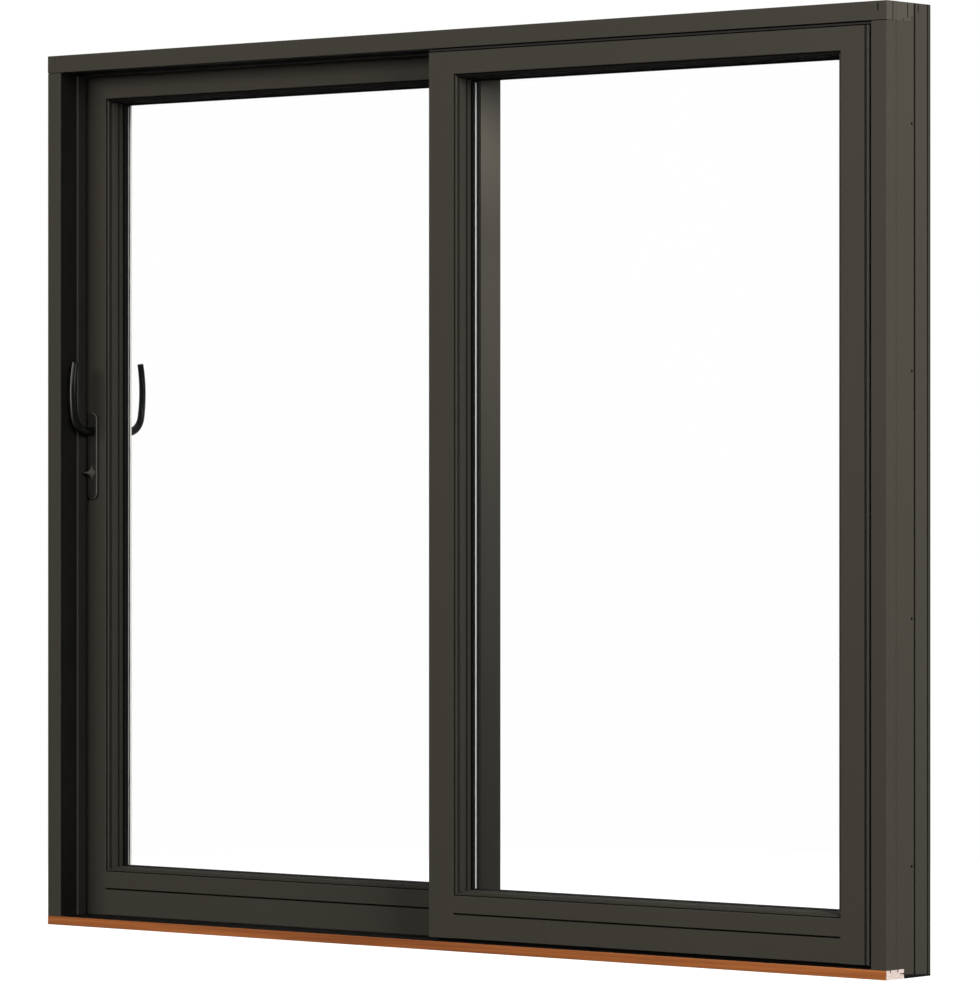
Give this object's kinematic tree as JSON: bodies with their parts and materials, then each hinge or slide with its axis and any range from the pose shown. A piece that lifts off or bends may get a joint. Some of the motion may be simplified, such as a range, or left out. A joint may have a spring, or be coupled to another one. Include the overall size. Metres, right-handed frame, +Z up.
{
  "type": "sliding patio door",
  "caption": "Glazed sliding patio door: timber frame with a fixed leaf, a sliding leaf on a far track, stepped glazing beads, pull handles and a thumb turn.",
  "frame": {"origin": "middle of the sill's flat underside, half way through the frame's depth", "axes": "+X along the width towards the fixed leaf, +Y from the room side to the weather side, +Z up"},
  "size_m": [2.413, 0.2653, 2.032],
  "materials": {
    "frame_timber": "dark opaque paint, satin",
    "frame_outer": "dark powder coat",
    "sill_timber": "clear lacquer over orange-brown timber",
    "sill_pan": "matt black",
    "sill_deck": "dark anodised",
    "liner": "dark, fine grained",
    "reveal": "dark, matt",
    "leaf_timber": "dark opaque paint, satin",
    "bead": "dark opaque paint, satin",
    "cladding": "dark powder coat",
    "glass": "clear float glass",
    "spacer": "mill finish",
    "interlock": "dark anodised",
    "hardware": "dark bronze, satin",
    "roller": "turned",
    "sill_track": "worn bright on top"
  },
  "bodies": {
    "frame": {"head": "frame_timber", "jamb_left": "frame_timber", "jamb_right": "frame_timber", "head_outer": "frame_outer", "jamb_outer_left": "frame_outer", "jamb_outer_right": "frame_outer", "sill_nosing": "sill_timber", "sill_pan": "sill_pan", "sill_deck": "sill_deck", "sill_well": "sill_deck", "sill_track": "sill_track", "jamb_cover_left": "liner", "jamb_liner_left": "liner", "head_liner": "liner", "fixed_filler": "reveal", "fixed_reveal_top": "reveal", "fixed_reveal_right": "reveal", "fixed_stile_left": "leaf_timber", "fixed_stile_right": "leaf_timber", "fixed_rail_top": "leaf_timber", "fixed_rail_bottom": "leaf_timber", "fixed_beads_upright": "bead", "fixed_beads_level": "bead", "fixed_glass": "glass", "fixed_spacer": "spacer", "fixed_cladding_stiles": "cladding", "fixed_cladding_rails": "cladding", "fixed_interlock": "interlock"},
    "sliding_leaf": {"sliding_stile_left": "leaf_timber", "sliding_stile_right": "leaf_timber", "sliding_rail_top": "leaf_timber", "sliding_rail_bottom": "leaf_timber", "sliding_beads_upright": "bead", "sliding_beads_level": "bead", "sliding_glass": "glass", "sliding_spacer": "spacer", "sliding_cladding_stiles": "cladding", "sliding_cladding_rails": "cladding", "sliding_interlock": "interlock", "sliding_rollers": "roller", "plate_inside": "hardware", "pull_inside": "hardware", "plate_outside": "hardware", "pull_outside": "hardware"},
    "turn": {"thumb_turn": "hardware"}
  },
  "joints": [
    {"name": "leaf_slide", "type": "slide", "parent": "frame", "child": "sliding_leaf", "axis": [1, 0, 0], "range_m": [0, 1.08]},
    {"name": "turn_pivot", "type": "hinge", "parent": "sliding_leaf", "child": "turn", "pos_m": [-1.1455, -0.003, 1.057], "axis": [0, 1, 0], "range_deg": [0, 90]}
  ]
}
